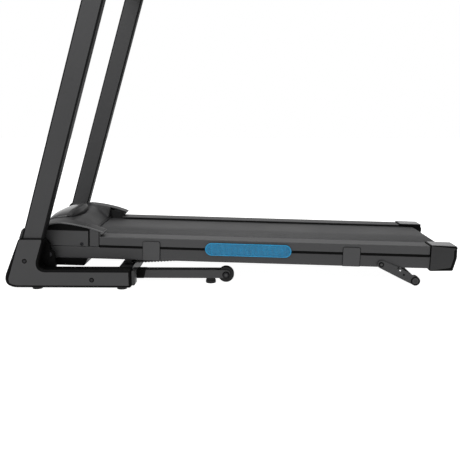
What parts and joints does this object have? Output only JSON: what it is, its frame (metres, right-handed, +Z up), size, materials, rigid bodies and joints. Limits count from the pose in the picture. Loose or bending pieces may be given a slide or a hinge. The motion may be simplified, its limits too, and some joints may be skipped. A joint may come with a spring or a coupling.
{
  "type": "treadmill",
  "caption": "Folding treadmill: leaning uprights on a low base, with console and handrails, and a belt deck that folds up on a gas strut.",
  "frame": {"origin": "centre of the footprint box, on the floor", "axes": "+X to the rear of the deck, +Y to the user's right, +Z up"},
  "size_m": [1.578, 0.7, 1.2973],
  "materials": {
    "powder_coat": "fine black texture powder coat",
    "boot_plastic": "moulded, fine grain",
    "hood_plastic": "moulded, satin gloss",
    "rail_plastic": "moulded foot rail",
    "cap_plastic": "moulded",
    "damper_blue": "translucent tinted, ribbed",
    "belt": "PVC belt, fine diamond texture",
    "rubber": "moulded rubber",
    "grip_foam": "foam grip",
    "steel": "turned, zinc plated",
    "motor_case": "painted",
    "board": "phenolic faced board",
    "circuit": "populated board with heat sink",
    "screen": "polished window",
    "key_red": "moulded",
    "key_grey": "moulded"
  },
  "bodies": {
    "base": {"base_frame": "powder_coat", "upright_left": "powder_coat", "upright_right": "powder_coat", "boot_left": "boot_plastic", "boot_right": "boot_plastic", "boot_end_cap_left": "cap_plastic", "boot_end_cap_right": "cap_plastic", "levelling_foot_front_left": "rubber", "levelling_foot_front_right": "rubber", "levelling_foot_rear_left": "rubber", "levelling_foot_rear_right": "rubber", "rubber_foot_left": "rubber", "rubber_foot_right": "rubber", "pivot_bolt_left": "steel", "pivot_bolt_right": "steel", "console": "boot_plastic", "display": "screen", "handrail_left": "grip_foam", "handrail_right": "grip_foam"},
    "deck": {"deck_side_tube_left": "powder_coat", "deck_side_tube_right": "powder_coat", "deck_cross_tube_1": "powder_coat", "deck_cross_tube_2": "powder_coat", "deck_cross_tube_3": "powder_coat", "running_board": "board", "deck_cushion_left": "rubber", "deck_cushion_right": "rubber", "running_belt": "belt", "foot_rail_left": "rail_plastic", "foot_rail_right": "rail_plastic", "clip_plate_front_left": "powder_coat", "clip_plate_front_right": "powder_coat", "clip_plate_rear_left": "powder_coat", "clip_plate_rear_right": "powder_coat", "damper_cover_left": "damper_blue", "damper_cover_right": "damper_blue", "rear_cap_left": "cap_plastic", "rear_cap_right": "cap_plastic", "motor": "motor_case", "drive_belt": "rubber", "motor_hood": "hood_plastic", "belly_pan": "cap_plastic", "control_board": "circuit"},
    "front_roller": {"front_roller": "steel"},
    "rear_roller": {"rear_roller": "steel"},
    "motor_rotor": {"motor_rotor": "steel"},
    "mains_switch": {"mains_switch": "key_red"},
    "incline_foot": {"incline_foot": "powder_coat"},
    "foot_roller_left": {"foot_roller_left": "rubber"},
    "foot_roller_right": {"foot_roller_right": "rubber"},
    "transport_wheel_left": {"transport_wheel_left": "rubber"},
    "transport_wheel_right": {"transport_wheel_right": "rubber"},
    "strut_cylinder": {"strut_cylinder": "powder_coat"},
    "strut_rod": {"strut_rod": "steel"},
    "key_slower": {"key_slower": "key_grey"},
    "key_start_stop": {"key_start_stop": "key_red"},
    "key_faster": {"key_faster": "key_grey"},
    "safety_key": {"safety_key": "key_red"}
  },
  "joints": [
    {"name": "deck_fold", "type": "hinge", "parent": "base", "child": "deck", "pos_m": [-0.645, 0, 0.115], "axis": [0, -1, 0], "range_deg": [0, 65]},
    {"name": "front_roller_spin", "type": "hinge", "parent": "deck", "child": "front_roller", "pos_m": [-0.55623, 0, 0.14231], "axis": [0, 1, 0], "continuous": true},
    {"name": "rear_roller_spin", "type": "hinge", "parent": "deck", "child": "rear_roller", "pos_m": [0.7403, 0, 0.10723], "axis": [0, 1, 0], "continuous": true},
    {"name": "motor_spin", "type": "hinge", "parent": "deck", "child": "motor_rotor", "pos_m": [-0.64378, 0, 0.15998], "axis": [0, 1, 0], "continuous": true},
    {"name": "mains_switch_rock", "type": "hinge", "parent": "deck", "child": "mains_switch", "pos_m": [-0.67684, 0.213, 0.08425], "axis": [0, 1, 0], "range_deg": [-8, 8]},
    {"name": "incline_foot_swing", "type": "hinge", "parent": "deck", "child": "incline_foot", "pos_m": [0.52, 0, 0.076], "axis": [0, 1, 0], "range_deg": [0, 40]},
    {"name": "foot_roller_left_spin", "type": "hinge", "parent": "incline_foot", "child": "foot_roller_left", "pos_m": [0.6427, -0.2565, 0.0167], "axis": [0, 1, 0], "continuous": true},
    {"name": "foot_roller_right_spin", "type": "hinge", "parent": "incline_foot", "child": "foot_roller_right", "pos_m": [0.6427, 0.2565, 0.0167], "axis": [0, 1, 0], "continuous": true},
    {"name": "transport_wheel_left_spin", "type": "hinge", "parent": "base", "child": "transport_wheel_left", "pos_m": [-0.028, -0.2375, 0.033], "axis": [0, 1, 0], "continuous": true},
    {"name": "transport_wheel_right_spin", "type": "hinge", "parent": "base", "child": "transport_wheel_right", "pos_m": [-0.028, 0.2375, 0.033], "axis": [0, 1, 0], "continuous": true},
    {"name": "strut_swing", "type": "hinge", "parent": "base", "child": "strut_cylinder", "pos_m": [-0.385, -0.19, 0.076], "axis": [0, -1, 0], "range_deg": [0, 86.94]},
    {"name": "strut_extend", "type": "slide", "parent": "strut_cylinder", "child": "strut_rod", "axis": [0.9997, 0, 0.0258], "range_m": [0, 0.23133]},
    {"name": "key_slower_press", "type": "slide", "parent": "base", "child": "key_slower", "axis": [-0.865, 0, -0.5017], "range_m": [0, 0.0015], "stiffness_N_per_m": 400},
    {"name": "key_start_stop_press", "type": "slide", "parent": "base", "child": "key_start_stop", "axis": [-0.865, 0, -0.5017], "range_m": [0, 0.0015], "stiffness_N_per_m": 400},
    {"name": "key_faster_press", "type": "slide", "parent": "base", "child": "key_faster", "axis": [-0.865, 0, -0.5017], "range_m": [0, 0.0015], "stiffness_N_per_m": 400},
    {"name": "safety_key_pull", "type": "slide", "parent": "base", "child": "safety_key", "axis": [0.865, 0, 0.5017], "range_m": [0, 0.03]}
  ],
  "couplings": [
    {"joint": "rear_roller_spin", "follows": "front_roller_spin", "ratio": 1},
    {"joint": "motor_spin", "follows": "front_roller_spin", "ratio": 2.1667},
    {"joint": "strut_swing", "follows": "deck_fold", "ratio": 1.3298},
    {"joint": "strut_extend", "follows": "deck_fold", "m_per_rad": 0.20303}
  ]
}
